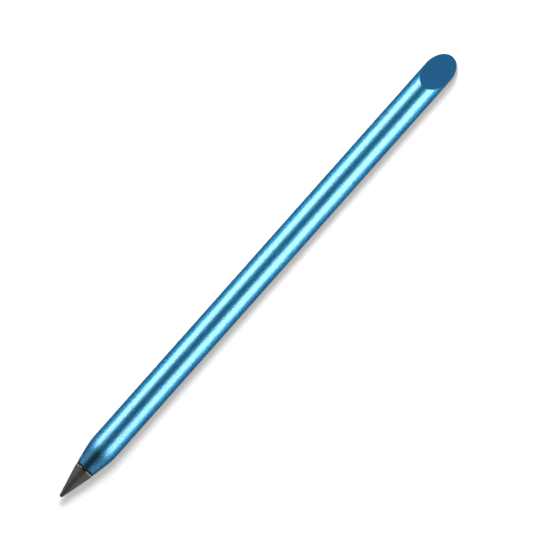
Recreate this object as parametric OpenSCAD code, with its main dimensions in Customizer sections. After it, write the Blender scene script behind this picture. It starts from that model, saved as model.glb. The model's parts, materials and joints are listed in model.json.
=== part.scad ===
// Inkless metal pencil, in millimetres.
// A closed aluminium tube with a tapered nose and a slanted far end carries a tip that screws into it.
// The pencil lies on its barrel along X: the writing point is at -X and the slanted face looks up at +X.
// Heights called z below run along the pencil's own axis, from the writing point to the far end.

/* [Overall] */
// Length from the writing point to the far end of the slanted cut
overall_length = 176; // [120:1:220]
// Diameter of the straight barrel
barrel_d = 9; // [8:0.1:12]
// Wall of the barrel beside its long bore
barrel_wall = 1; // [0.6:0.05:1.4]

/* [Nose] */
// Length of the tapered nose
nose_length = 6.9; // [4:0.1:12]
// Wall of the nose's mouth, around the bush
nose_wall = 0.6; // [0.4:0.05:0.8]
// Radius that blends the taper into the barrel
shoulder_radius = 20; // [2:0.5:30]
// Edge break at the nose's mouth
nose_edge = 0.08; // [0.05:0.01:0.2]

/* [Slanted end] */
// Angle between the cut face and the pencil's axis, in degrees
cut_angle = 35.2; // [25:0.1:60]
// How far the end plug reaches in beyond the cut's near edge
plug_depth = 5; // [3:0.5:15]
// Lead-in chamfer on the end plug
plug_chamfer = 0.4; // [0.2:0.1:0.8]

/* [Thread] */
// Outside diameter of the stud's thread
thread_d = 4; // [3.5:0.1:5]
// Rise of the thread in one turn
thread_pitch = 0.7; // [0.5:0.01:0.9]
// Whole turns that the stud reaches into the nose
thread_turns = 9; // [6:1:12]
// Radial play between the two threads
thread_clearance = 0.05; // [0.04:0.01:0.08]
// Length of the plain neck between the ring and the thread
neck_length = 1; // [0.8:0.1:1.6]
// How far the neck lies below the bottom of the thread
neck_relief = 0.05; // [0.02:0.01:0.2]
// Length of the plain point that leads the stud in
stud_tip_length = 0.4; // [0.2:0.1:0.8]

/* [Bush] */
// Wall of the bush outside its thread
bush_wall = 0.6; // [0.4:0.05:0.9]
// How far the bush lies behind the mouth of the nose
bush_recess = 0.1; // [0.05:0.05:0.3]
// Length of bush past the end of the stud
bush_spare = 0.7; // [0.5:0.1:2]
// Depth of the plain mouth at each end of the bush
bush_mouth_depth = 0.4; // [0.3:0.05:0.6]
// Radial play of the stud in the bush's plain mouths
bush_mouth_play = 0.1; // [0.09:0.01:0.2]
// How much a pressed-in piece is larger than its hole, on the radius
press_overlap = 0.01; // [0:0.005:0.02]

/* [Writing tip] */
// Length of the graphite nib
nib_length = 10.4; // [8:0.1:16]
// Radius of the blunt writing point
tip_radius = 0.6; // [0.2:0.05:0.8]
// Diameter of the spigot that carries the nib
spigot_d = 2.4; // [2:0.1:3]
// Length of the spigot inside the nib
spigot_length = 4.5; // [3:0.1:5.5]
// Chamfer on the spigot's front end
spigot_chamfer = 0.2; // [0.1:0.05:0.4]
// Glue gap around the spigot
glue_gap = 0.02; // [0.01:0.01:0.05]
// Spare depth of the nib's blind hole
hole_spare = 0.3; // [0.2:0.1:0.6]

/* [Ring and washer] */
// Thickness of the bright ring behind the nib
ring_thickness = 0.4; // [0.3:0.05:0.8]
// Thickness of the black lock washer
washer_thickness = 0.7; // [0.4:0.05:1.2]
// Radial play of the lock washer on the stud
washer_clearance = 0.15; // [0.1:0.05:0.3]
// Play between the ring and the lock washer
washer_play = 0.02; // [0.02:0.01:0.05]
// Step on the radius from the washer out to the nose
nose_step = 0.1; // [0.05:0.05:0.3]
// Step on the radius from the ring out to the washer
ring_step = 0.05; // [0.02:0.01:0.1]

/* [Hidden] */
$fn = 96;

// Colours
bright_blue = [0.18, 0.56, 0.74];
flat_blue = [0.14, 0.36, 0.54];
brass_yellow = [0.84, 0.7, 0.42];
washer_black = [0.12, 0.12, 0.13];
metal_grey = [0.7, 0.69, 0.67];
graphite_grey = [0.26, 0.25, 0.24];

// Radii
barrel_r = barrel_d / 2;
bore_r = barrel_r - barrel_wall;
bush_r = thread_d / 2 + bush_wall;
mouth_r = bush_r + nose_wall;
washer_r = mouth_r - nose_step;
ring_r = washer_r - ring_step;

// Heights along the axis
ring_z = nib_length;
ring_back_z = ring_z + ring_thickness;
washer_z = ring_back_z + washer_play;
nose_z = washer_z + washer_thickness;
shoulder_z = nose_z + nose_length;
bush_z = nose_z + bush_recess;
stud_end_z = nose_z + thread_turns * thread_pitch;
bush_end_z = stud_end_z + bush_spare;
cut_z = overall_length - barrel_d / tan(cut_angle);

// The long bore stops behind the bush and the nose, so that the wall never gets thinner than barrel_wall
bore_end_spare = 1;
bore_end_z = max(bush_end_z, shoulder_z) + bore_end_spare;
drill_point = 118;
shoulder_steps = 4;

// The writing cone touches the ball of the tip and ends flush with the ring
cone_run = ring_z - tip_radius;
cone_angle = atan(ring_r / cone_run) - asin(tip_radius / norm([ring_r, cone_run]));
tip_arc_steps = 6;
function cone_r(z) = tip_radius / cos(cone_angle) + (z - tip_radius) * tan(cone_angle);

// A 60 degree thread: each corner of one turn is [share of the pitch, share of the depth]
thread_flank = 5 / 16;
thread_depth = thread_flank * thread_pitch / tan(30);
thread_corners = [[1 / 8, 0], [7 / 16, 1], [9 / 16, 1], [7 / 8, 0]];
thread_columns = 24;
thread_fade = 0.5 * thread_pitch;
// How much wider the bush's groove is than the stud's ridge, on each flank
flank_gap = 0.6 * thread_clearance;
// How far a cutting shape runs past the face that it opens
cut_overrun = 1;

// Stands a piece that was drawn upright, along its own axis, in the pencil's place
module along_pencil() {
    translate([-overall_length / 2, 0, barrel_r])
        rotate([0, 90, 0])
            children();
}

// Everything past the slanted cut, in the upright pose. The cut's near edge is on the -X side
module past_the_cut() {
    reach = 2 * overall_length;
    translate([-barrel_r, 0, cut_z])
        rotate([0, -(90 - cut_angle), 0])
            translate([-reach / 2, -reach / 2, 0])
                cube(reach);
}

// Outline points of an arc about [r, z], from one angle to another, in steps
function arc_points(r, z, radius, from, to, steps) = [
    for (i = [0:steps])
        let (angle = from + (to - from) * i / steps)
        [r + radius * cos(angle), z + radius * sin(angle)]
];

// A closed screw thread from z = from to z = to, with its place on the helix set by z alone,
// so that two threads made by it are always in mesh. Each column is one angle round the axis. Its points
// rise with the helix, stop at the two ends, and sink to the core there.
module thread_rod(from, to, core, widen) {
    corner_count = len(thread_corners);
    first_turn = floor(from / thread_pitch) - 2;
    last_turn = ceil(to / thread_pitch) + 2;
    rows = corner_count * (last_turn - first_turn);
    function side(corner) = corner[0] < 0.5 ? -widen : widen;
    function rise(column, row) =
        let (corner = thread_corners[row % corner_count])
        (first_turn + floor(row / corner_count) + corner[0] + column / thread_columns) * thread_pitch
            + side(corner);
    function depth(z) = thread_depth * max(0, min(1, (z - from) / thread_fade, (to - z) / thread_fade));
    function place(column, row) =
        let (z = rise(column, row))
        let (r = core + depth(z) * thread_corners[row % corner_count][1])
        let (angle = 360 * column / thread_columns)
        [r * cos(angle), r * sin(angle), max(from, min(to, z))];
    // A column past the last one is the first column, one turn further along
    function index(column, row) =
        column < thread_columns
            ? column * rows + min(row, rows - 1)
            : min(row + corner_count, rows - 1);
    points = concat(
        [for (column = [0:thread_columns - 1]) for (row = [0:rows - 1]) place(column, row)],
        [[0, 0, from], [0, 0, to]]
    );
    from_centre = thread_columns * rows;
    to_centre = from_centre + 1;
    sides = [
        for (column = [0:thread_columns - 1])
            for (row = [0:rows - 2])
                let (a = index(column, row))
                let (b = index(column, row + 1))
                let (c = index(column + 1, row + 1))
                let (d = index(column + 1, row))
                each [[a, b, c], [a, c, d]]
    ];
    ends = [
        for (column = [0:thread_columns - 1])
            let (next = (column + 1) % thread_columns)
            each [
                [from_centre, index(column, 0), index(next, 0)],
                [to_centre, index(next, rows - 1), index(column, rows - 1)]
            ]
    ];
    function real(face) =
        points[face[0]] != points[face[1]]
        && points[face[1]] != points[face[2]]
        && points[face[2]] != points[face[0]];
    polyhedron(points, [for (face = concat(sides, ends)) if (real(face)) face]);
}

// Blue tube: tapered nose in front, deep bore from behind, smaller bore for the bush, slanted end
module barrel() {
    taper_angle = atan((barrel_r - mouth_r) / nose_length);
    blend = shoulder_radius * tan(taper_angle / 2);
    drill_rise = (bore_r - bush_r) / tan(drill_point / 2);
    color(bright_blue)
        along_pencil()
            difference() {
                rotate_extrude()
                    polygon(concat(
                        [
                            [bush_r, nose_z],
                            [mouth_r - nose_edge, nose_z],
                            [mouth_r, nose_z + nose_edge]
                        ],
                        arc_points(
                            barrel_r - shoulder_radius,
                            shoulder_z + blend,
                            shoulder_radius,
                            -taper_angle,
                            0,
                            shoulder_steps
                        ),
                        [
                            [barrel_r, overall_length],
                            [bore_r, overall_length],
                            [bore_r, bore_end_z + drill_rise],
                            [bush_r, bore_end_z]
                        ]
                    ));
                past_the_cut();
            }
}

// Blue plug that closes the tube, cut flush with it
module end_plug() {
    plug_r = bore_r + press_overlap;
    plug_z = cut_z - plug_depth;
    color(flat_blue)
        along_pencil()
            difference() {
                rotate_extrude()
                    polygon([
                        [0, plug_z],
                        [plug_r - plug_chamfer, plug_z],
                        [plug_r, plug_z + plug_chamfer],
                        [plug_r, overall_length],
                        [0, overall_length]
                    ]);
                past_the_cut();
            }
}

// Brass bush in the nose, threaded through, with a plain mouth at each end
module nose_bush() {
    bush_mouth_r = thread_d / 2 + bush_mouth_play;
    color(brass_yellow)
        along_pencil()
            difference() {
                translate([0, 0, bush_z])
                    cylinder(h = bush_end_z - bush_z, r = bush_r + press_overlap);
                thread_rod(
                    bush_z - thread_pitch,
                    bush_end_z + thread_pitch,
                    thread_d / 2 - thread_depth + thread_clearance,
                    flank_gap
                );
                translate([0, 0, bush_z - cut_overrun])
                    cylinder(h = cut_overrun + bush_mouth_depth, r = bush_mouth_r);
                translate([0, 0, bush_end_z - bush_mouth_depth])
                    cylinder(h = cut_overrun + bush_mouth_depth, r = bush_mouth_r);
            }
}

// Black washer that the ring clamps against the nose
module lock_washer() {
    color(washer_black)
        along_pencil()
            translate([0, 0, washer_z])
                difference() {
                    cylinder(h = washer_thickness, r = washer_r);
                    translate([0, 0, -cut_overrun])
                        cylinder(
                            h = washer_thickness + 2 * cut_overrun,
                            r = thread_d / 2 + washer_clearance
                        );
                }
}

// Metal carrier of the nib: spigot, ring, neck and threaded stud
module nib_holder() {
    core_r = thread_d / 2 - thread_depth;
    neck_r = core_r - neck_relief;
    thread_z = ring_back_z + neck_length;
    thread_end_z = stud_end_z - stud_tip_length / 2;
    spigot_r = spigot_d / 2;
    color(metal_grey)
        along_pencil() {
            rotate_extrude()
                polygon([
                    [0, ring_z - spigot_length],
                    [spigot_r - spigot_chamfer, ring_z - spigot_length],
                    [spigot_r, ring_z - spigot_length + spigot_chamfer],
                    [spigot_r, ring_z],
                    [cone_r(ring_z), ring_z],
                    [ring_r, ring_back_z],
                    [neck_r, ring_back_z],
                    [neck_r, thread_z + thread_pitch],
                    [0, thread_z + thread_pitch]
                ]);
            thread_rod(thread_z, thread_end_z, core_r, 0);
            translate([0, 0, stud_end_z - stud_tip_length])
                cylinder(h = stud_tip_length, r1 = neck_r, r2 = neck_r - stud_tip_length);
        }
}

// Dark writing cone with a blind hole for the spigot
module nib() {
    hole_r = spigot_d / 2 + glue_gap;
    hole_z = ring_z - spigot_length - hole_spare;
    color(graphite_grey)
        along_pencil()
            rotate_extrude()
                polygon(concat(
                    arc_points(0, tip_radius, tip_radius, -90, -cone_angle, tip_arc_steps),
                    [
                        [cone_r(ring_z), ring_z],
                        [hole_r, ring_z],
                        [hole_r, hole_z],
                        [0, hole_z - hole_r / tan(drill_point / 2)]
                    ]
                ));
}

barrel();
end_plug();
nose_bush();
lock_washer();
nib_holder();
nib();
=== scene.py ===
# %% [markdown]
# # A blue inkless pencil
# The real thing is a closed aluminium tube, 176 mm long and 9 mm thick. Its front end is turned to a short
# taper, and a graphite alloy writing tip screws into it. Its far end is sawn off on a slant. The tube is bead
# blasted and dyed blue, so it mirrors its surroundings softly, with a fine sparkle.
#
# The sizes come from a CAD model. Blender adds what CAD doesn't hold: fine edges,
# finishes and light. So the script starts by loading that model, and everything it makes fits inside it.

# %% Load the CAD frame
import json
import math

import bpy
import numpy as np
from mathutils import Matrix, Vector


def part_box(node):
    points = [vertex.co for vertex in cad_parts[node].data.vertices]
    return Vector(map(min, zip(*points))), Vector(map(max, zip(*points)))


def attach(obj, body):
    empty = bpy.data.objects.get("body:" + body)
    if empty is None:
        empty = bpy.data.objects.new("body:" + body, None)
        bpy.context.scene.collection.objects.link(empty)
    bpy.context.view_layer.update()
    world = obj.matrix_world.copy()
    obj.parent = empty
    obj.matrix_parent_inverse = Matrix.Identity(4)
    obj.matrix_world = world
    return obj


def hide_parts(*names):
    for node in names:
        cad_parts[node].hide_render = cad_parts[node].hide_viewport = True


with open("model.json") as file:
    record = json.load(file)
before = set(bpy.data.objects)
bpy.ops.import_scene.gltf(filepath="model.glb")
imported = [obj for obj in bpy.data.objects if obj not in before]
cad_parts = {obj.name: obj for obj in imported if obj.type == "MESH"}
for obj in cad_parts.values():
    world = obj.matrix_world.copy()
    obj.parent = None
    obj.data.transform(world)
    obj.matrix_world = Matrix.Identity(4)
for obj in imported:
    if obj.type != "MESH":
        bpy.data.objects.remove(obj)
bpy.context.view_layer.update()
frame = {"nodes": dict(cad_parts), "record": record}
MM = 0.001

# %% [markdown]
# ## Sizes
# The pencil lies along X with its writing point at -X. Each length is read from the box of its own CAD
# piece, so a new CAD model moves everything with it. Only what a box can't tell is written as a number.

# %% Read the sizes from the CAD pieces
barrel_low, barrel_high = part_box("barrel")
plug_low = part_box("end_plug")[0]
bush_low, bush_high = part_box("nose_bush")
washer_low, washer_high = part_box("lock_washer")
holder_low, holder_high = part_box("nib_holder")
nib_low, nib_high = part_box("nib")

AXIS_HEIGHT = (barrel_low.z + barrel_high.z) / 2
BARREL_RADIUS = (barrel_high.y - barrel_low.y) / 2
BUSH_RADIUS = (bush_high.y - bush_low.y) / 2
WASHER_RADIUS = (washer_high.y - washer_low.y) / 2
RING_RADIUS = (holder_high.y - holder_low.y) / 2
NIB_RADIUS = (nib_high.y - nib_low.y) / 2

# %% Sizes that no box tells, and the places that follow from them
BARREL_WALL = 1.0 * MM
NOSE_LENGTH = 6.9 * MM
NOSE_STEP = 0.1 * MM
SHOULDER_RADIUS = 20.0 * MM
BORE_SPARE = 1.0 * MM
THREAD_RADIUS = 2.0 * MM
THREAD_PITCH = 0.7 * MM

BORE_RADIUS = BARREL_RADIUS - BARREL_WALL
MOUTH_RADIUS = WASHER_RADIUS + NOSE_STEP
SHOULDER_X = barrel_low.x + NOSE_LENGTH
LONG_BORE_X = bush_high.x + BORE_SPARE
for name, radius in (
    ("barrel", BARREL_RADIUS),
    ("nose mouth", MOUTH_RADIUS),
    ("washer", WASHER_RADIUS),
    ("ring", RING_RADIUS),
    ("nib", NIB_RADIUS),
):
    print(name, "radius in mm:", round(radius / MM, 3))

# %% [markdown]
# ## The slanted cut
# The saw cut is a flat plane. The CAD record holds a point on it and the direction that it faces. A plane
# meets a tube in an ellipse: round the tube, the cut's place along X follows a cosine of the angle. The plane
# is read from the record and not fitted to the mesh, so that the new face lies exactly on the CAD's.

# %% Read the cut's plane
slant = next(m for m in frame["record"]["mounts"] if m["name"] == "slant_face")
CUT_CENTRE = np.array(slant["pos_m"])
CUT_NORMAL = np.array(slant["axis"]) / np.linalg.norm(slant["axis"])
CUT_SLOPE = CUT_NORMAL[2] / CUT_NORMAL[0]


def cut_x(height):
    """The cut plane's place along X at a height above the axis: its centre less slope times height."""
    return CUT_CENTRE[0] - CUT_SLOPE * height


print("the cut starts at X =", round(cut_x(BARREL_RADIUS) / MM, 2), "mm")
print("the cut ends at X =", round(cut_x(-BARREL_RADIUS) / MM, 2), "mm")

# %% [markdown]
# ## Camera
# The photograph looks straight down on the pencil from far away, so nothing in it narrows with distance. A
# very long lens gives that. An orthographic camera would too, but it can't be moved round the object as
# easily. The pencil is rolled by a few degrees, which shows as a lean of its slanted face. The camera is
# turned about the pencil's axis by that angle instead, because the model stays where it is.

# %% Point the camera as the photograph does
PICTURE_PIXELS = 540
MM_PER_PIXEL = 0.2983
PENCIL_CENTRE_PIXEL = (256.44, 276.18)
PENCIL_ANGLE = math.radians(48.36)
ROLL = math.radians(3.7)
LENS = 1000.0
SENSOR = 36.0

view_up_from_pencil = Vector((0, -math.sin(ROLL), math.cos(ROLL)))
pencil_left = view_up_from_pencil.cross(Vector((1, 0, 0)))
picture_right = Vector((1, 0, 0)) * math.cos(PENCIL_ANGLE) - pencil_left * math.sin(PENCIL_ANGLE)
picture_up = Vector((1, 0, 0)) * math.sin(PENCIL_ANGLE) + pencil_left * math.cos(PENCIL_ANGLE)

pixel = MM_PER_PIXEL * MM
to_right = (PICTURE_PIXELS / 2 - PENCIL_CENTRE_PIXEL[0]) * pixel
to_top = (PENCIL_CENTRE_PIXEL[1] - PICTURE_PIXELS / 2) * pixel
aim = Vector((0, 0, AXIS_HEIGHT)) + picture_right * to_right + picture_up * to_top
distance = PICTURE_PIXELS * pixel * LENS / SENSOR

camera_data = bpy.data.cameras.new("overhead_camera")
camera_data.lens = LENS
camera_data.sensor_width = SENSOR
camera_data.clip_start = 0.05
camera_data.clip_end = 20
camera = bpy.data.objects.new("overhead_camera", camera_data)
bpy.context.scene.collection.objects.link(camera)
turn = Matrix((picture_right, picture_up, view_up_from_pencil)).transposed().to_4x4()
camera.matrix_world = Matrix.Translation(aim + view_up_from_pencil * distance) @ turn
bpy.context.scene.camera = camera
print("camera is", round(distance, 3), "m away, frame is", round(PICTURE_PIXELS * MM_PER_PIXEL, 1), "mm wide")

# %% [markdown]
# ## Light
# The tube shows what light it stands in. Its two bright bands are two long soft boxes, one on each side of
# the pencil and parallel to it, and the dark band between them is the dark room overhead. The boxes reach
# only a little past the pencil's front end. The tapered nose leans forwards, so it looks past their ends and
# is dark. One lamp overhead would be simpler, but it would put its band where the dark one is.
#
# The pencil's shadow comes from one more soft lamp, high up and a little to the left. The shadow runs ahead
# of the writing point but not of the slanted end, so the lamp hangs near, above the far half of the pencil.

# %% Two long soft boxes beside the pencil
BOX_DISTANCE = 0.30


def soft_box(name, lean, width, length, shift, radiance):
    """A rectangle of light that faces the pencil, leaning off the vertical to the left, or to the right where
    the angle is negative. Its power is radiance times area times pi, so its brightness stays at any size.
    Shift is its place along the pencil, from the middle towards the slanted end."""
    light = bpy.data.lights.new(name, "AREA")
    light.shape = "RECTANGLE"
    light.size = length
    light.size_y = width
    light.energy = radiance * length * width * math.pi
    box = bpy.data.objects.new(name, light)
    lean = math.radians(lean)
    towards_box = Vector((0, math.sin(lean), math.cos(lean)))
    across = towards_box.cross(Vector((1, 0, 0)))
    facing = Matrix((Vector((1, 0, 0)), across, towards_box)).transposed().to_4x4()
    place = Vector((shift, 0, AXIS_HEIGHT)) + towards_box * BOX_DISTANCE
    box.matrix_world = Matrix.Translation(place) @ facing
    box.visible_camera = False
    box.visible_diffuse = False
    bpy.context.scene.collection.objects.link(box)
    print(f"{name}: {light.energy:.2f} W at {BOX_DISTANCE} m")
    return box


soft_box("left_soft_box", lean=54.3, width=0.216, length=0.266, shift=0.027, radiance=9.5)
soft_box("right_soft_box", lean=-55.8, width=0.249, length=0.286, shift=0.049, radiance=9.0)

# %% The high lamp that casts the shadow
shadow_lamp = soft_box("shadow_lamp", lean=18.5, width=0.125, length=0.125, shift=0.055, radiance=19.5)
shadow_lamp.visible_diffuse = True
shadow_lamp.visible_glossy = False

# %% [markdown]
# The rest of the light is the room itself. It is dark overhead, where the middle band looks, and gets
# brighter towards the horizon, which the sides of the tube see. An even grey room would lift the dark band.

# %% The room: dark overhead, brighter near the horizon
ROOM_OVERHEAD = 0.0
ROOM_HORIZON = 0.5
DARK_FROM_HEIGHT = 0.75

room = bpy.data.worlds.new("room")
bpy.context.scene.world = room
room.use_nodes = True
room_nodes, room_links = room.node_tree.nodes, room.node_tree.links
room_nodes.clear()
room_direction = room_nodes.new("ShaderNodeTexCoord")
room_axes = room_nodes.new("ShaderNodeSeparateXYZ")
room_ramp = room_nodes.new("ShaderNodeMapRange")
room_ramp.interpolation_type = "SMOOTHSTEP"
room_ramp.inputs["From Min"].default_value = 0.0
room_ramp.inputs["From Max"].default_value = DARK_FROM_HEIGHT
room_ramp.inputs["To Min"].default_value = ROOM_HORIZON
room_ramp.inputs["To Max"].default_value = ROOM_OVERHEAD
room_light = room_nodes.new("ShaderNodeBackground")
room_out = room_nodes.new("ShaderNodeOutputWorld")
room_links.new(room_direction.outputs["Generated"], room_axes.inputs["Vector"])
room_links.new(room_axes.outputs["Z"], room_ramp.inputs["Value"])
room_links.new(room_ramp.outputs["Result"], room_light.inputs["Strength"])
room_links.new(room_light.outputs["Background"], room_out.inputs["Surface"])
print("room strength:", ROOM_HORIZON, "at the horizon,", ROOM_OVERHEAD, "overhead")

# %% [markdown]
# ## Floor
# The photograph's white isn't light on the object but the colour of what it lies on. So the floor glows a
# little for the camera and for mirror-like reflections, and takes the shadow with the rest of its brightness.
# The high lamp hangs near, so its light falls off over the floor. The glow rises away from the pencil to make
# up for that, and is weakest under it, where a stronger glow would wash the shadow out. The pencil is long,
# so a step along it counts for a third of a step to its side. A backdrop that is plain white all over would
# be simpler, but then there would be no shadow at all.
# The floor can't be seen from below, so a view from underneath shows the pencil.

# %% White floor that keeps the shadow
FLOOR_SIZE = 6.0
FLOOR_WHITE = 0.8
FLOOR_GLOW = 0.45
FLOOR_GLOW_FAR = 1.0
GLOW_FROM = 0.02
GLOW_TO = 0.10
ALONG_PENCIL = 0.33

floor_mesh = bpy.data.meshes.new("floor")
half = FLOOR_SIZE / 2
floor_corners = [(-half, -half, 0), (half, -half, 0), (half, half, 0), (-half, half, 0)]
floor_mesh.from_pydata(floor_corners, [], [(0, 1, 2, 3)])
floor = bpy.data.objects.new("floor", floor_mesh)
bpy.context.scene.collection.objects.link(floor)
print("floor:", FLOOR_SIZE, "m wide")

# %% White that glows for the camera and for reflections
paper = bpy.data.materials.new("white_floor")
paper.use_nodes = True
paper_nodes, paper_links = paper.node_tree.nodes, paper.node_tree.links
paper_nodes.clear()
paper_matt = paper_nodes.new("ShaderNodeBsdfDiffuse")
paper_matt.inputs["Color"].default_value = (FLOOR_WHITE, FLOOR_WHITE, FLOOR_WHITE, 1)
paper_glow = paper_nodes.new("ShaderNodeEmission")
paper_path = paper_nodes.new("ShaderNodeLightPath")
paper_seen = paper_nodes.new("ShaderNodeMath")
paper_seen.operation = "MAXIMUM"
paper_through = paper_nodes.new("ShaderNodeMath")
paper_through.operation = "MAXIMUM"
paper_links.new(paper_path.outputs["Is Camera Ray"], paper_seen.inputs[0])
paper_links.new(paper_path.outputs["Is Glossy Ray"], paper_seen.inputs[1])
paper_links.new(paper_seen.outputs[0], paper_through.inputs[0])
paper_links.new(paper_path.outputs["Is Transmission Ray"], paper_through.inputs[1])
print("floor colour:", FLOOR_WHITE)

# %% The glow rises away from the pencil
paper_place = paper_nodes.new("ShaderNodeTexCoord")
paper_along = paper_nodes.new("ShaderNodeVectorMath")
paper_along.operation = "MULTIPLY"
paper_along.inputs[1].default_value = (ALONG_PENCIL, 1, 0)
paper_away = paper_nodes.new("ShaderNodeVectorMath")
paper_away.operation = "LENGTH"
paper_level = paper_nodes.new("ShaderNodeMapRange")
paper_level.interpolation_type = "SMOOTHSTEP"
paper_level.inputs["From Min"].default_value = GLOW_FROM
paper_level.inputs["From Max"].default_value = GLOW_TO
paper_level.inputs["To Min"].default_value = FLOOR_GLOW
paper_level.inputs["To Max"].default_value = FLOOR_GLOW_FAR
paper_strength = paper_nodes.new("ShaderNodeMath")
paper_strength.operation = "MULTIPLY"
paper_links.new(paper_through.outputs[0], paper_strength.inputs[0])
paper_links.new(paper_place.outputs["Object"], paper_along.inputs[0])
paper_links.new(paper_along.outputs[0], paper_away.inputs[0])
paper_links.new(paper_away.outputs["Value"], paper_level.inputs["Value"])
paper_links.new(paper_level.outputs["Result"], paper_strength.inputs[1])
paper_links.new(paper_strength.outputs[0], paper_glow.inputs["Strength"])
print("floor glow:", FLOOR_GLOW, "at the pencil,", FLOOR_GLOW_FAR, "further off")

# %% The floor's shader, clear from below
paper_sum = paper_nodes.new("ShaderNodeAddShader")
paper_under = paper_nodes.new("ShaderNodeNewGeometry")
paper_clear = paper_nodes.new("ShaderNodeBsdfTransparent")
paper_mix = paper_nodes.new("ShaderNodeMixShader")
paper_out = paper_nodes.new("ShaderNodeOutputMaterial")
paper_links.new(paper_matt.outputs[0], paper_sum.inputs[0])
paper_links.new(paper_glow.outputs[0], paper_sum.inputs[1])
paper_links.new(paper_under.outputs["Backfacing"], paper_mix.inputs["Fac"])
paper_links.new(paper_sum.outputs[0], paper_mix.inputs[1])
paper_links.new(paper_clear.outputs[0], paper_mix.inputs[2])
paper_links.new(paper_mix.outputs[0], paper_out.inputs["Surface"])
floor_mesh.materials.append(paper)
print("floor shader:", len(paper_nodes), "nodes")

# %% [markdown]
# ## Surfaces from two parameters
# Every piece of this pencil came off a lathe, so every surface is a stack of rings round one axis: one
# parameter goes round the ring, the other from ring to ring. Blender's own way would be to draw an outline
# and add the Screw modifier. Whole numpy arrays are used here, because the slanted rim and the screw thread
# are rings too, only with a radius or a place that changes round the ring, and the same code makes them all.

# %% Rings round the pencil's axis
SIDES = 192
angle = np.arange(SIDES) * 2 * math.pi / SIDES


def ring_points(x, radius):
    """Rings of points round the axis. x and radius have one row per ring, and one column or one per side.
    The angle starts at the top and turns towards +Y: y is the radius times its sine, and z is the axis
    height plus the radius times its cosine."""
    x, radius = np.broadcast_arrays(np.atleast_2d(x), np.atleast_2d(radius) + 0 * angle)
    return np.stack([x, radius * np.sin(angle), AXIS_HEIGHT + radius * np.cos(angle)], axis=-1)


def turned(outline):
    """Rings from a lathe outline, a list of [x, radius] points."""
    outline = np.asarray(outline)
    return ring_points(outline[:, :1], outline[:, 1:])


# %% A mesh from a stack of rings
def skin(name, rings, start=None, end=None, face_materials=None):
    """A closed mesh from rings of points. Each point is joined to its neighbours round the ring and to the
    next ring. Without end points the last ring joins the first, as on a tube; with them, a fan closes each
    end. The volume is the sum over the triangles of a dot (b cross c) / 6. Where it comes out negative, the
    faces point inwards, and all of them are turned round."""
    count, sides = rings.shape[:2]
    points = rings.reshape(-1, 3)
    number = np.arange(count * sides).reshape(count, sides)
    here = number if start is None else number[:-1]
    ahead = np.roll(number, -1, axis=0) if start is None else number[1:]
    quads = np.stack([here, np.roll(here, -1, 1), np.roll(ahead, -1, 1), ahead], axis=-1).reshape(-1, 4)
    band = np.repeat(np.arange(len(here)), sides)
    fans = np.empty((0, 3), int)
    if start is not None:
        points = np.vstack([points, start, end])
        first, last = number[0], number[-1]
        fans = np.vstack([
            np.stack([np.full(sides, len(points) - 2), np.roll(first, -1), first], axis=-1),
            np.stack([np.full(sides, len(points) - 1), last, np.roll(last, -1)], axis=-1),
        ])
    triangles = np.vstack([quads[:, [0, 1, 2]], quads[:, [0, 2, 3]], fans])
    a, b, c = (points[triangles[:, i]] for i in range(3))
    volume = np.einsum("ij,ij->", a, np.cross(b, c)) / 6
    if volume < 0:
        quads, fans = quads[:, ::-1], fans[:, ::-1]
    mesh = bpy.data.meshes.new(name)
    mesh.vertices.add(len(points))
    mesh.vertices.foreach_set("co", points.ravel())
    mesh.loops.add(quads.size + fans.size)
    mesh.loops.foreach_set("vertex_index", np.concatenate([quads.ravel(), fans.ravel()]))
    mesh.polygons.add(len(quads) + len(fans))
    sizes = np.concatenate([np.full(len(quads), 4), np.full(len(fans), 3)])
    mesh.polygons.foreach_set("loop_start", np.concatenate([[0], np.cumsum(sizes)[:-1]]))
    if face_materials is not None:
        tail = np.full(len(fans), face_materials[-1])
        mesh.polygons.foreach_set("material_index", np.concatenate([np.asarray(face_materials)[band], tail]))
    mesh.update(calc_edges=True)
    mesh.validate()
    mesh.shade_smooth()
    piece = bpy.data.objects.new(name, mesh)
    bpy.context.scene.collection.objects.link(piece)
    print(f"{name}: {len(triangles)} triangles, {abs(volume) / MM**3:.1f} mm3")
    return piece


# %% [markdown]
# A turned edge is never quite sharp: the tool leaves a break of a few hundredths of a millimetre, and that is
# what catches the light. A Bevel modifier could add it, but the outline can hold it exactly, as a small arc
# at each corner. A point is added just beside each arc, so that the flat parts stay flat in the shading.

# %% Outlines with rounded corners
ARC_STEPS = 5
BESIDE_SHARE = 0.3
BESIDE_MOST = 0.5 * MM


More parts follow.
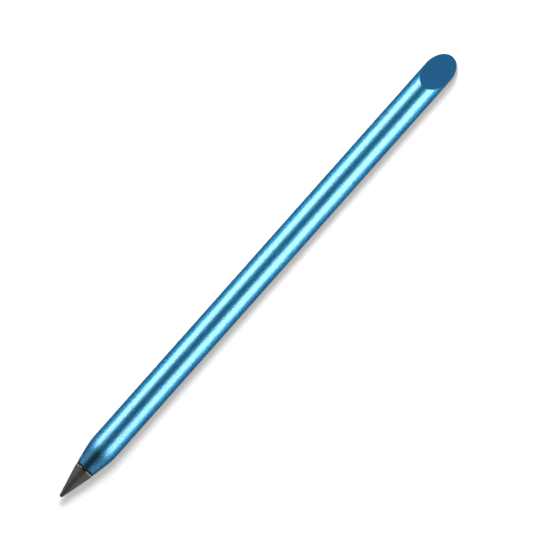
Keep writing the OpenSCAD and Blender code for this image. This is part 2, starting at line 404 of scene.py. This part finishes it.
def rounded_outline(corners):
    """Outline points from corners given as [x, radius, edge radius]. An edge of radius e between two lines
    that turn by an angle t starts e * tan(t / 2) before the corner. From there the arc turns by t about its
    centre, which lies e to the side. The first and the last corner are kept as they are."""
    corners = np.asarray(corners, float)
    place, edge = corners[:, :2], corners[1:-1, 2:]
    along = np.diff(place, axis=0)
    along /= np.linalg.norm(along, axis=1, keepdims=True)
    inward, outward = along[:-1], along[1:]
    cross = inward[:, 0] * outward[:, 1] - inward[:, 1] * outward[:, 0]
    turn = np.arctan2(cross, (inward * outward).sum(1))[:, None]
    back = edge * np.tan(np.abs(turn) / 2)
    start = place[1:-1] - inward * back
    side = np.stack([-inward[:, 1], inward[:, 0]], axis=-1) * np.sign(turn)
    centre = start + side * edge
    share = np.linspace(0, 1, ARC_STEPS + 1)
    swing = turn * share
    arm = start - centre
    arc = np.stack([
        centre[:, :1] + arm[:, :1] * np.cos(swing) - arm[:, 1:] * np.sin(swing),
        centre[:, 1:] + arm[:, :1] * np.sin(swing) + arm[:, 1:] * np.cos(swing),
    ], axis=-1)
    near = np.minimum(BESIDE_SHARE * edge, BESIDE_MOST)
    before = start - inward * near
    after = arc[:, -1] + outward * near
    rows = np.concatenate([before[:, None], arc, after[:, None]], axis=1).reshape(-1, 2)
    return np.vstack([place[:1], rows, place[-1:]])


# %% [markdown]
# ## The rim of the slant
# Where the saw cut leaves the tube, the edge is blunt on top and very sharp at the far tip. A small ball that
# rolls along inside the corner touches both surfaces, and the arc between the two touching points is the
# rounded edge. That one rule works for every angle between the wall and the cut. A Bevel modifier would do
# it too, but it can't be wider than the short edges of so fine a mesh allow.

# %% A ball rolled along the rim
RIM_EDGE = 0.04 * MM
SEAM_EDGE = 0.012 * MM
EDGE_RINGS = 7


def slanted_ring(radius, shift=0.0):
    """A ring of the tube where the cut plane, moved along its own normal by shift, meets a cylinder."""
    return ring_points(cut_x(radius * np.cos(angle)) + shift / CUT_NORMAL[0], radius)[0]


def rolled_edge(radius, edge, inside):
    """Rings of a rounded edge between a cylinder and the cut plane. The ball's centre lies one edge radius
    behind the plane and one off the wall. Each ring turns its arm further from the wall's direction to the
    plane's: the two directions are mixed by the sines of their shares of the angle between them."""
    wall = np.stack([0 * angle, np.sin(angle), np.cos(angle)], axis=-1) * (-1 if inside else 1)
    centre = slanted_ring(radius + (edge if inside else -edge), -edge)
    opening = np.arccos(np.clip(wall @ CUT_NORMAL, -1, 1))[:, None]
    share = np.linspace(0, 1, EDGE_RINGS)[:, None, None]
    arm = (np.sin((1 - share) * opening) * wall + np.sin(share * opening) * CUT_NORMAL) / np.sin(opening)
    return centre + edge * arm


def between(first, last, shares):
    """Rings on the straight lines from one ring to another, at the given shares of the way."""
    share = np.asarray(shares)[:, None, None]
    return first + (last - first) * share


# %% [markdown]
# ## Barrel
# The barrel is a drawn tube with a turned nose. One surface goes all the way round its wall: forwards inside
# the bore, round the mouth of the nose, back along the taper, the shoulder and the long barrel to the cut,
# over its rim and into the bore again. A cylinder cut by a Boolean would have the same shape, but its rim
# would be a row of slivers that no edge can be rounded on.

# %% Make the barrel
BUSH_HOLE_EDGE = 0.04 * MM
MOUTH_EDGE = 0.08 * MM
STRAIGHT_START = 4 * MM
DRILL_RISE = 0.54 * MM
WALL_RINGS = 39


def make_barrel():
    """Rings in four runs: the turned nose, the straight wall, the rim with the cut's own ring, and the bore.
    The face's finish starts halfway round the rim and ends with the seam."""
    nose = turned(rounded_outline([
        [LONG_BORE_X, BUSH_RADIUS, 0],
        [barrel_low.x, BUSH_RADIUS, BUSH_HOLE_EDGE],
        [barrel_low.x, MOUTH_RADIUS, MOUTH_EDGE],
        [SHOULDER_X, BARREL_RADIUS, SHOULDER_RADIUS],
        [SHOULDER_X + STRAIGHT_START, BARREL_RADIUS, 0],
    ]))
    rim = rolled_edge(BARREL_RADIUS, RIM_EDGE, inside=False)
    wall = between(nose[-1], rim[0], np.linspace(0, 1, WALL_RINGS + 2)[1:-1])
    wall_end = between(wall[-1], rim[0], [0.97, 0.995])
    seam = rolled_edge(BORE_RADIUS, SEAM_EDGE, inside=True)[::-1]
    flat = between(rim[-1], seam[0], [0.04, 0.3, 0.6, 0.96])
    deep = turned([[LONG_BORE_X + DRILL_RISE, BORE_RADIUS]])
    bore = between(seam[-1], deep[0], [0.01, 0.5, 1.0])
    rings = np.concatenate([nose, wall, wall_end, rim, flat, seam, bore])
    rim_start = len(nose) + len(wall) + len(wall_end)
    face_start = rim_start + EDGE_RINGS // 2
    face_end = rim_start + len(rim) + len(flat) + len(seam)
    row = np.arange(len(rings))
    on_face = (row >= face_start) & (row < face_end)
    return skin("barrel_tube", rings, face_materials=np.where(on_face, 1, 0))


barrel = make_barrel()

# %% [markdown]
# ## End plug
# The tube is closed by a plug that is pressed in before the saw cut, so its end is part of the same flat
# face. The seam is only a hair line, with a break of about a hundredth of a millimetre on each side. A line
# drawn in the material would look the same from afar, but it wouldn't be there in the exported shape.

# %% Make the end plug
PLUG_CHAMFER = 0.4 * MM
PLUG_FRONT = 2 * MM
PLUG_CENTRE_DRILL = 0.5 * MM


def make_end_plug():
    """Rings from the plug's hidden front, along its side, over the rim of the cut, and in to the middle."""
    front = turned(rounded_outline([
        [plug_low.x, PLUG_CENTRE_DRILL, 0],
        [plug_low.x, BORE_RADIUS, PLUG_CHAMFER],
        [plug_low.x + PLUG_FRONT, BORE_RADIUS, 0],
    ]))
    rim = rolled_edge(BORE_RADIUS, SEAM_EDGE, inside=False)
    side = between(front[-1], rim[0], [0.5, 0.99])
    middle = CUT_CENTRE.copy()
    face = between(rim[-1], middle, [0.01, 0.25, 0.5, 0.75, 0.95])
    rings = np.concatenate([front, side, rim, face])
    return skin("slant_plug", rings, (plug_low.x, 0, AXIS_HEIGHT), middle)


plug = make_end_plug()

# %% [markdown]
# ## Washer
# The black ring between the metal ring and the nose is a flat nylon washer, which keeps the tip from working
# loose. It is punched and soft, so its edges are rounder than the metal's. A torus would be too round for it.

# %% Make the lock washer
WASHER_PLAY = 0.15 * MM
WASHER_HOLE_EDGE = 0.05 * MM
WASHER_EDGE = 0.09 * MM


def make_washer():
    """A square outline with soft edges, turned into a ring. It starts and ends on one point of the hole."""
    hole = THREAD_RADIUS + WASHER_PLAY
    middle = (washer_low.x + washer_high.x) / 2
    outline = rounded_outline([
        [middle, hole, 0],
        [washer_low.x, hole, WASHER_HOLE_EDGE],
        [washer_low.x, WASHER_RADIUS, WASHER_EDGE],
        [washer_high.x, WASHER_RADIUS, WASHER_EDGE],
        [washer_high.x, hole, WASHER_HOLE_EDGE],
        [middle, hole, 0],
    ])
    return skin("washer_ring", turned(outline[:-1]))


washer = make_washer()

# %% [markdown]
# ## Nib holder
# The metal carrier has a spigot in front, glued into the nib, the thin bright ring that shows between nib and
# washer, and a threaded stud. The ring's front edge is chamfered down towards the nib. A plain cylinder would
# mirror the soft boxes as one broad flash, and the photograph shows only a narrow glint. A screw thread is a
# radius that depends on both parameters: go round once, and the ridge has moved along by one pitch.

# %% A screw thread
FLANK_SHARE = 5 / 16
CREST_SHARE = 1 / 8
FLANK_LEAN = math.radians(30)
FADE_SHARE = 0.5
THREAD_DEPTH = FLANK_SHARE * THREAD_PITCH / math.tan(FLANK_LEAN)
CORE_RADIUS = THREAD_RADIUS - THREAD_DEPTH
ROWS_PER_TURN = 22


def thread_rings(x_from, x_to):
    """Rings of a 60 degree right-handed thread. The ridge's place in one pitch is x / pitch + angle / one
    turn, less the half turn that the CAD thread starts at. Its height rises on the flank from 0 to 1, stays
    flat over the crest and falls again, and fades to nothing over half a pitch at both ends of the stud."""
    rows = round((x_to - x_from) / THREAD_PITCH * ROWS_PER_TURN)
    x = np.linspace(x_from, x_to, rows)[:, None]
    place = ((x - nib_low.x) / THREAD_PITCH + angle / (2 * math.pi) - 0.5) % 1
    foot = FLANK_SHARE + CREST_SHARE / 2
    height = np.clip((foot - np.abs(place - 0.5)) / FLANK_SHARE, 0, 1)
    fade = np.clip(np.minimum(x - x_from, x_to - x) / (FADE_SHARE * THREAD_PITCH), 0, 1)
    return ring_points(x, CORE_RADIUS + THREAD_DEPTH * height * fade)


# %% Sizes of the nib holder
RING_PLAY = 0.02 * MM
RING_CHAMFER = 0.1 * MM
RING_FRONT_EDGE = 0.03 * MM
RING_BACK_EDGE = 0.05 * MM
SPIGOT_RADIUS = 1.2 * MM
SPIGOT_CHAMFER = 0.2 * MM
SPIGOT_END_RADIUS = 0.3 * MM
NECK_LENGTH = 1.0 * MM
NECK_RADIUS = CORE_RADIUS - 0.05 * MM
NECK_SPARE = 0.1 * MM
STUD_POINT = 0.2 * MM
POINT_STEP = 0.02 * MM
POINT_TAPER = 0.3 * MM
print("thread core and neck radius in mm:", round(CORE_RADIUS / MM, 3), round(NECK_RADIUS / MM, 3))

# %% Make the nib holder
def make_nib_holder():
    """Rings of the spigot, the thin ring, the neck, the thread and the stud's plain point."""
    ring_front = nib_high.x
    ring_back = washer_low.x - RING_PLAY
    thread_from = ring_back + NECK_LENGTH
    thread_to = holder_high.x - STUD_POINT
    front = turned(rounded_outline([
        [holder_low.x, SPIGOT_END_RADIUS, 0],
        [holder_low.x, SPIGOT_RADIUS, SPIGOT_CHAMFER],
        [ring_front, SPIGOT_RADIUS, RING_FRONT_EDGE],
        [ring_front, RING_RADIUS - RING_CHAMFER, RING_FRONT_EDGE],
        [ring_back, RING_RADIUS, RING_BACK_EDGE],
        [ring_back, NECK_RADIUS, RING_BACK_EDGE],
        [thread_from - NECK_SPARE, NECK_RADIUS, 0],
    ]))
    point = turned([
        [thread_to + POINT_STEP, CORE_RADIUS - POINT_STEP],
        [holder_high.x, CORE_RADIUS - POINT_TAPER],
    ])
    return skin(
        "nib_holder_stud",
        np.concatenate([front, thread_rings(thread_from, thread_to), point]),
        (holder_low.x, 0, AXIS_HEIGHT),
        (holder_high.x, 0, AXIS_HEIGHT),
    )


holder = make_nib_holder()

# %% [markdown]
# ## Nib
# The nib is a plain cone with a blunt round point, which rubs off a hair of its dark alloy on the paper. A
# cone with a bevelled point would do too. The exact ball is as short to write, and its edge has no facets.

# %% Make the nib
TIP_RADIUS = 0.6 * MM
TIP_RINGS = 14
TIP_FIRST_ANGLE = 0.04
NIB_EDGE = 0.04 * MM
HOLE_RADIUS = 1.22 * MM
HOLE_DEPTH = 4.8 * MM
HOLE_MOUTH_EDGE = 0.03 * MM
HOLE_END_EDGE = 0.05 * MM
HOLE_END_RADIUS = 0.3 * MM


def make_nib():
    """The cone touches the ball of the point where the ball's surface leans as the cone does. The cone's lean
    is found from the triangle of its end radius and its length, less the part that the ball's radius takes.
    The blind hole for the spigot is the same outline turned back into the cone."""
    run = nib_high.x - nib_low.x - TIP_RADIUS
    lean = math.atan(NIB_RADIUS / run) - math.asin(TIP_RADIUS / math.hypot(NIB_RADIUS, run))
    swing = np.linspace(TIP_FIRST_ANGLE, math.pi / 2 - lean, TIP_RINGS)
    ball = np.stack([
        nib_low.x + TIP_RADIUS * (1 - np.cos(swing)),
        TIP_RADIUS * np.sin(swing),
    ], axis=-1)
    hole_end = nib_high.x - HOLE_DEPTH
    cone = rounded_outline([
        [*ball[-1], 0],
        [nib_high.x, NIB_RADIUS, NIB_EDGE],
        [nib_high.x, HOLE_RADIUS, HOLE_MOUTH_EDGE],
        [hole_end, HOLE_RADIUS, HOLE_END_EDGE],
        [hole_end, HOLE_END_RADIUS, 0],
    ])
    rings = turned(np.vstack([ball, cone[1:]]))
    return skin("nib_cone", rings, (nib_low.x, 0, AXIS_HEIGHT), (hole_end, 0, AXIS_HEIGHT))


nib = make_nib()

# %% [markdown]
# ## Shared effects
# Some things happen on more than one of these surfaces: the blasted grain, the fine rings that a lathe
# leaves, and a slight unevenness of colour and gloss. Each is a node group, built once, with its size as an
# input. The streaks of the nib are a group too, to keep its material short. A picture of each effect would
# need to be unwrapped onto the pencil; noise at the point's own place needs none, and shows no seam.

# %% Helpers for node groups
def new_group(name, inputs, outputs):
    """A shader node group with float inputs {name: default} and outputs {name: kind}."""
    group = bpy.data.node_groups.new(name, "ShaderNodeTree")
    for label, value in inputs.items():
        socket = group.interface.new_socket(label, in_out="INPUT", socket_type="NodeSocketFloat")
        socket.default_value = value
    for label, kind in outputs.items():
        group.interface.new_socket(label, in_out="OUTPUT", socket_type=kind)
    return group, group.nodes.new("NodeGroupInput"), group.nodes.new("NodeGroupOutput")


def maths(tree, operation, first, second):
    """A Math node; each value is a number or the socket that it comes from."""
    node = tree.nodes.new("ShaderNodeMath")
    node.operation = operation
    for i, value in enumerate((first, second)):
        if isinstance(value, bpy.types.NodeSocket):
            tree.links.new(value, node.inputs[i])
        else:
            node.inputs[i].default_value = value
    return node.outputs[0]


def count_nodes(name, tree):
    """Says how many nodes a group or a finish is made of."""
    print(f"{name}: {len(tree.nodes)} nodes")


# %% Blasted grain
FINER_DIMPLES = 2.7


def make_blasted_grain():
    """Height of a bead-blasted surface: soft dimples of one size, plus a share of finer ones between them."""
    group, given, result = new_group(
        "blasted_grain",
        {"Dimples per metre": 3000.0, "Fine share": 0.35},
        {"Height": "NodeSocketFloat"},
    )
    place = group.nodes.new("ShaderNodeTexCoord")
    heights = []
    for factor in (1.0, FINER_DIMPLES):
        noise = group.nodes.new("ShaderNodeTexNoise")
        noise.inputs["Detail"].default_value = 1.0
        noise.inputs["Roughness"].default_value = 0.5
        group.links.new(place.outputs["Object"], noise.inputs["Vector"])
        scale = maths(group, "MULTIPLY", given.outputs["Dimples per metre"], factor)
        group.links.new(scale, noise.inputs["Scale"])
        heights.append(noise.outputs["Fac"])
    fine = maths(group, "MULTIPLY", heights[1], given.outputs["Fine share"])
    group.links.new(maths(group, "ADD", heights[0], fine), result.inputs["Height"])
    return group


blasted_grain = make_blasted_grain()
count_nodes("blasted_grain", blasted_grain)

# %% Lathe rings
def make_lathe_rings():
    """Height of turning marks: noise that depends only on the place along X, so each mark is a full ring."""
    group, given, result = new_group(
        "lathe_rings", {"Rings per metre": 12000.0}, {"Height": "NodeSocketFloat"})
    place = group.nodes.new("ShaderNodeTexCoord")
    axes = group.nodes.new("ShaderNodeSeparateXYZ")
    noise = group.nodes.new("ShaderNodeTexNoise")
    noise.noise_dimensions = "1D"
    noise.inputs["Detail"].default_value = 3.0
    noise.inputs["Scale"].default_value = 1.0
    group.links.new(place.outputs["Object"], axes.inputs["Vector"])
    place_in_rings = maths(group, "MULTIPLY", axes.outputs["X"], given.outputs["Rings per metre"])
    group.links.new(place_in_rings, noise.inputs["W"])
    group.links.new(noise.outputs["Fac"], result.inputs["Height"])
    return group


lathe_rings = make_lathe_rings()
count_nodes("lathe_rings", lathe_rings)

# %% Lengthwise streaks
CHANGE_PER_METRE_ALONG = 30.0


def make_streaks():
    """A value that changes round the axis but slowly along it: noise of the point's direction from the axis,
    the vector (y, z - axis height) brought to length one, plus thirty times its place along X in metres."""
    group, given, result = new_group(
        "lengthwise_streaks", {"Streaks": 12.0}, {"Factor": "NodeSocketFloat"})
    place = group.nodes.new("ShaderNodeTexCoord")
    centred = group.nodes.new("ShaderNodeVectorMath")
    centred.operation = "MULTIPLY_ADD"
    centred.inputs[1].default_value = (0, 1, 1)
    centred.inputs[2].default_value = (0, 0, -AXIS_HEIGHT)
    direction = group.nodes.new("ShaderNodeVectorMath")
    direction.operation = "NORMALIZE"
    axes = group.nodes.new("ShaderNodeSeparateXYZ")
    along = group.nodes.new("ShaderNodeCombineXYZ")
    both = group.nodes.new("ShaderNodeVectorMath")
    noise = group.nodes.new("ShaderNodeTexNoise")
    noise.inputs["Detail"].default_value = 2.0
    group.links.new(place.outputs["Object"], centred.inputs[0])
    group.links.new(centred.outputs[0], direction.inputs[0])
    group.links.new(place.outputs["Object"], axes.inputs["Vector"])
    slow = maths(group, "MULTIPLY", axes.outputs["X"], CHANGE_PER_METRE_ALONG)
    group.links.new(slow, along.inputs["X"])
    group.links.new(direction.outputs[0], both.inputs[0])
    group.links.new(along.outputs[0], both.inputs[1])
    group.links.new(both.outputs[0], noise.inputs["Vector"])
    group.links.new(given.outputs["Streaks"], noise.inputs["Scale"])
    group.links.new(noise.outputs["Fac"], result.inputs["Factor"])
    return group


lengthwise_streaks = make_streaks()
count_nodes("lengthwise_streaks", lengthwise_streaks)

# %% Uneven gloss
NOISE_MIDDLE = 0.5
NOISE_STRETCH = 4.0


def make_patches():
    """A slow drift to multiply a colour or a roughness with. Noise stays mostly between a quarter and three
    quarters, so its distance from the middle is stretched by four, which brings it to about -1 to 1. That
    times Amount is added to 1."""
    group, given, result = new_group(
        "slow_patches",
        {"Patches per metre": 120.0, "Amount": 0.1},
        {"Factor": "NodeSocketFloat"},
    )
    place = group.nodes.new("ShaderNodeTexCoord")
    noise = group.nodes.new("ShaderNodeTexNoise")
    noise.inputs["Detail"].default_value = 3.0
    group.links.new(place.outputs["Object"], noise.inputs["Vector"])
    group.links.new(given.outputs["Patches per metre"], noise.inputs["Scale"])
    centred = maths(group, "SUBTRACT", noise.outputs["Fac"], NOISE_MIDDLE)
    stretched = maths(group, "MULTIPLY", centred, NOISE_STRETCH)
    swing = maths(group, "MULTIPLY", stretched, given.outputs["Amount"])
    group.links.new(maths(group, "ADD", swing, 1.0), result.inputs["Factor"])
    return group


slow_patches = make_patches()
count_nodes("slow_patches", slow_patches)

# %% Helpers for materials
def new_finish(name):
    """An empty material with a Principled shader, and a function that places a shared effect in it."""
    material = bpy.data.materials.new(name)
    material.use_nodes = True
    tree = material.node_tree
    shader = tree.nodes["Principled BSDF"]

    def place(group, **values):
        """The first output of a shared effect, with its named inputs set to the given values."""
        node = tree.nodes.new("ShaderNodeGroup")
        node.node_tree = group
        for label, value in values.items():
            node.inputs[label.replace("_", " ")].default_value = value
        return node.outputs[0]

    return material, tree, shader, place


def add_relief(tree, shader, height, depth):
    """Feeds a height, in shares of the depth in metres, to the shader as a bump."""
    bump = tree.nodes.new("ShaderNodeBump")
    bump.inputs["Strength"].default_value = 1.0
    bump.inputs["Distance"].default_value = depth
    tree.links.new(height, bump.inputs["Height"])
    tree.links.new(bump.outputs["Normal"], shader.inputs["Normal"])


def tint(tree, factor, colour):
    """The colour times a factor that drifts over the surface. The colour is given, or is a socket's."""
    node = tree.nodes.new("ShaderNodeVectorMath")
    node.operation = "SCALE"
    if isinstance(colour, bpy.types.NodeSocket):
        tree.links.new(colour, node.inputs[0])
    else:
        node.inputs[0].default_value = colour
    tree.links.new(factor, node.inputs["Scale"])
    return node.outputs[0]


def two_tones(tree, height, span, deep, pale):
    """The deep colour in the hollows and the pale one on the heights, mixed over a span of heights."""
    share = tree.nodes.new("ShaderNodeMapRange")
    share.label = "share_of_pale"
    share.inputs["From Min"].default_value = span[0]
    share.inputs["From Max"].default_value = span[1]
    tree.links.new(height, share.inputs["Value"])
    mix = tree.nodes.new("ShaderNodeMix")
    mix.data_type = "RGBA"
    mix.inputs["A"].default_value = (*deep, 1)
    mix.inputs["B"].default_value = (*pale, 1)
    tree.links.new(share.outputs["Result"], mix.inputs["Factor"])
    return mix.outputs["Result"]


# %% [markdown]
# ## Anodised blue
# The dye sits in a clear, hard oxide skin on bare aluminium. So light comes back twice: coloured from the
# metal below, and white from the skin's own surface. A metallic shader with a clear coat does exactly that.
#
# The coat thins out towards the outline, where the real skin stays blue instead of turning white, and the
# metal's own edge colour is kept dark. The turned nose is a little glossier than the straight wall, because
# it is cut finer. The sparkle comes from the blasted grain: its height is both the bump and the choice
# between a deep and a pale blue. The pale blue on the heights is a painted glint, and the deep blue is the
# dye between the glints.

# %% Colours and gloss of the blue tube
# The two blues of the grain: the deep one is the dye between glints, the pale one on the heights is a painted
# glint.
DEEP_BLUE_BETWEEN_GLINTS = (0.0, 0.065, 0.121)
BLUE_WITH_PAINTED_GLINT = (0.031, 0.258, 0.483)
PAINTED_GLINT_SPAN = (0.45, 0.85)
EDGE_COLOUR = (0.28, 0.0, 0.0, 1)
NOSE_ROUGHNESS = 0.33
WALL_ROUGHNESS = 0.43
GLOSS_FROM = SHOULDER_X - 2 * MM
GLOSS_TO = SHOULDER_X + 1 * MM
COAT_FULL_UNTIL = 0.2
COAT_THIN_FROM = 0.42
THIN_COAT = 0.06
GRAIN_DEPTH = 0.04 * MM
print("the gloss changes from X =", round(GLOSS_FROM / MM, 2), "to", round(GLOSS_TO / MM, 2), "mm")

# %% Blue tube
def make_anodised_blue():
    """The dyed skin: gloss changes from nose to wall in a smooth step along X, the coat fades in a smooth
    step of Facing from 1 to nearly 0, and the grain's height chooses between the deep blue and the pale
    blue, which is a painted glint on the heights."""
    material, tree, shader, place = new_finish("anodised_blue")
    shader.inputs["Metallic"].default_value = 1.0
    shader.inputs["Specular Tint"].default_value = EDGE_COLOUR
    axes = tree.nodes.new("ShaderNodeSeparateXYZ")
    tree.links.new(tree.nodes.new("ShaderNodeTexCoord").outputs["Object"], axes.inputs["Vector"])
    gloss = tree.nodes.new("ShaderNodeMapRange")
    gloss.interpolation_type = "SMOOTHSTEP"
    gloss.inputs["From Min"].default_value = GLOSS_FROM
    gloss.inputs["From Max"].default_value = GLOSS_TO
    gloss.inputs["To Min"].default_value = NOSE_ROUGHNESS
    gloss.inputs["To Max"].default_value = WALL_ROUGHNESS
    tree.links.new(axes.outputs["X"], gloss.inputs["Value"])
    tree.links.new(gloss.outputs["Result"], shader.inputs["Roughness"])
    shader.inputs["Coat IOR"].default_value = 1.6
    shader.inputs["Coat Roughness"].default_value = 0.29
    facing = tree.nodes.new("ShaderNodeLayerWeight")
    fade = tree.nodes.new("ShaderNodeMapRange")
    fade.interpolation_type = "SMOOTHSTEP"
    fade.inputs["From Min"].default_value = COAT_FULL_UNTIL
    fade.inputs["From Max"].default_value = COAT_THIN_FROM
    fade.inputs["To Min"].default_value = 1.0
    fade.inputs["To Max"].default_value = THIN_COAT
    tree.links.new(facing.outputs["Facing"], fade.inputs["Value"])
    tree.links.new(fade.outputs["Result"], shader.inputs["Coat Weight"])
    grain = place(blasted_grain, Dimples_per_metre=2800.0, Fine_share=0.3)
    # The grain's height mixes the two blues: the pale blue on the heights is a painted glint.
    blue_and_painted_glints = two_tones(tree, grain, PAINTED_GLINT_SPAN, DEEP_BLUE_BETWEEN_GLINTS, BLUE_WITH_PAINTED_GLINT)
    drift = place(slow_patches, Patches_per_metre=90.0, Amount=0.05)
    tree.links.new(tint(tree, drift, blue_and_painted_glints), shader.inputs["Base Color"])
    add_relief(tree, shader, grain, GRAIN_DEPTH)
    return material


anodised_blue = make_anodised_blue()
count_nodes("anodised_blue", anodised_blue.node_tree)

# %% [markdown]
# ## Blue of the cut face
# The sawn face is dyed with the tube but looks flat and even, without a bright band, because it is dull and
# mirrors one wide, dark part of the room. The tube's own material would sparkle too coarsely here, so the
# face gets one with a rougher metal, no coat and a much finer grain.

# %% Blue cut face
FACE_BLUE = (0.032, 0.207, 0.445)
FACE_GRAIN_DEPTH = 0.004 * MM


def make_cut_blue():
    """The sawn and blasted face: one even blue without the clear skin's gloss, with a much finer grain."""
    material, tree, shader, place = new_finish("cut_face_blue")
    shader.inputs["Metallic"].default_value = 1.0
    colour = tint(tree, place(slow_patches, Patches_per_metre=150.0, Amount=0.03), FACE_BLUE)
    tree.links.new(colour, shader.inputs["Base Color"])
    shader.inputs["Roughness"].default_value = 0.5
    grain = place(blasted_grain, Dimples_per_metre=9000.0, Fine_share=0.4)
    add_relief(tree, shader, grain, FACE_GRAIN_DEPTH)
    return material


cut_blue = make_cut_blue()
count_nodes("cut_face_blue", cut_blue.node_tree)

# %% [markdown]
# ## Brass and steel
# Bush and nib holder are bare turned metal. What tells it from a cast or a ground piece is the set of fine
# rings that the tool leaves, so both share one recipe with another colour. An anisotropic shader would blur
# the light in the same way, but the rings in the bump also show as rings when looked at closely.

# %% Turned metals
BRASS_YELLOW = (0.72, 0.5, 0.2)
STEEL_GREY = (0.30, 0.28, 0.25)


def make_turned_metal(name, colour, roughness, rings, depth):
    """A lathe-turned metal: a plain reflecting colour with fine rings and slightly uneven gloss."""
    material, tree, shader, place = new_finish(name)
    shader.inputs["Metallic"].default_value = 1.0
    shader.inputs["Specular Tint"].default_value = (0.5, 0.5, 0.5, 1)
    drift = tint(tree, place(slow_patches, Patches_per_metre=500.0, Amount=0.08), colour)
    tree.links.new(drift, shader.inputs["Base Color"])
    gloss = maths(tree, "MULTIPLY", place(slow_patches, Patches_per_metre=900.0, Amount=0.12), roughness)
    tree.links.new(gloss, shader.inputs["Roughness"])
    add_relief(tree, shader, place(lathe_rings, Rings_per_metre=rings), depth)
    return material


brass = make_turned_metal("turned_brass", BRASS_YELLOW, roughness=0.28, rings=16000.0, depth=0.004 * MM)
steel = make_turned_metal("turned_steel", STEEL_GREY, roughness=0.2, rings=14000.0, depth=0.005 * MM)
count_nodes("turned_brass", brass.node_tree)
count_nodes("turned_steel", steel.node_tree)

# %% [markdown]
# ## Graphite alloy
# The nib is a soft grey alloy with the look of a sharpened lead: dark, half glossy, with fine streaks that
# run from its base to its point. Plain noise would look like cast iron. Noise of the direction from the axis
# keeps each streak on its own side of the cone all the way down.

# %% Graphite alloy of the nib
DARK_GRAPHITE = (0.056, 0.055, 0.051)
PALE_GRAPHITE = (0.118, 0.114, 0.108)
STREAK_SPAN = (0.3, 0.7)
STREAK_DEPTH = 0.03 * MM


def make_graphite():
    """The nib's skin: drawn lengthwise, so its tone and relief run in fine streaks from base to point."""
    material, tree, shader, place = new_finish("graphite_alloy")
    shader.inputs["Metallic"].default_value = 1.0
    shader.inputs["Specular Tint"].default_value = (0.3, 0.3, 0.3, 1)
    streak = place(lengthwise_streaks, Streaks=14.0)
    tones = two_tones(tree, streak, STREAK_SPAN, DARK_GRAPHITE, PALE_GRAPHITE)
    drift = place(slow_patches, Patches_per_metre=700.0, Amount=0.1)
    tree.links.new(tint(tree, drift, tones), shader.inputs["Base Color"])
    gloss = maths(tree, "MULTIPLY", place(slow_patches, Patches_per_metre=900.0, Amount=0.12), 0.5)
    tree.links.new(gloss, shader.inputs["Roughness"])
    add_relief(tree, shader, streak, STREAK_DEPTH)
    return material


graphite = make_graphite()
count_nodes("graphite_alloy", graphite.node_tree)

# %% [markdown]
# ## Nylon
# The washer shows as a plain black line between two shiny pieces, so it is dull. It isn't a metal: a
# Principled shader with a dark base and hardly any specular level is enough, with a fine pebbled skin.

# %% Nylon of the washer
NYLON_BLACK = (0.012, 0.012, 0.013)
NYLON_GRAIN_DEPTH = 0.004 * MM


def make_washer_nylon():
    """Dull moulded nylon: nearly black, very rough, with hardly any mirror part and a fine pebbled skin."""
    material, tree, shader, place = new_finish("black_nylon")
    colour = tint(tree, place(slow_patches, Patches_per_metre=800.0, Amount=0.1), NYLON_BLACK)
    tree.links.new(colour, shader.inputs["Base Color"])
    shader.inputs["Roughness"].default_value = 0.8
    shader.inputs["Specular IOR Level"].default_value = 0.15
    grain = place(blasted_grain, Dimples_per_metre=12000.0, Fine_share=0.5)
    add_relief(tree, shader, grain, NYLON_GRAIN_DEPTH)
    return material


nylon = make_washer_nylon()
count_nodes("black_nylon", nylon.node_tree)

# %% [markdown]
# ## Put it together
# Each new piece stands for the CAD piece that it was measured from, and rides on the same body, so it moves
# when the tip is unscrewed. The brass bush in the nose keeps its CAD shape, and only gets its finish here.
# Each body is an empty named after it, and its pieces are parented to it.

# %% Finishes, bodies and slots
for piece, finishes, node, body, slot in (
    (barrel, (anodised_blue, cut_blue), "barrel", "barrel", "blue_anodised"),
    (plug, (cut_blue,), "end_plug", "barrel", "blue_face"),
    (washer, (nylon,), "lock_washer", "washer", "black_nylon"),
    (holder, (steel,), "nib_holder", "nib", "steel"),
    (nib, (graphite,), "nib", "nib", "graphite"),
):
    for finish in finishes:
        piece.data.materials.append(finish)
    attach(piece, body)
    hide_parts(node)
    print(f"{piece.name} stands for {node} and rides on {body}")

bush = frame["nodes"]["nose_bush"]
for bush_slot in bush.material_slots:
    bush_slot.material = brass
print("nose_bush keeps its CAD shape and is finished in", brass.name)

# %% [markdown]
# ## Picture settings
# The Standard view shows a colour as it is written, where the usual filmic one would grey the white floor.
# Light that the metal throws on the floor is left out, because it only adds noise beside the pencil.

# %% Picture settings
bpy.context.scene.view_settings.view_transform = "Standard"
bpy.context.scene.cycles.caustics_reflective = False
print("view:", bpy.context.scene.view_settings.view_transform)
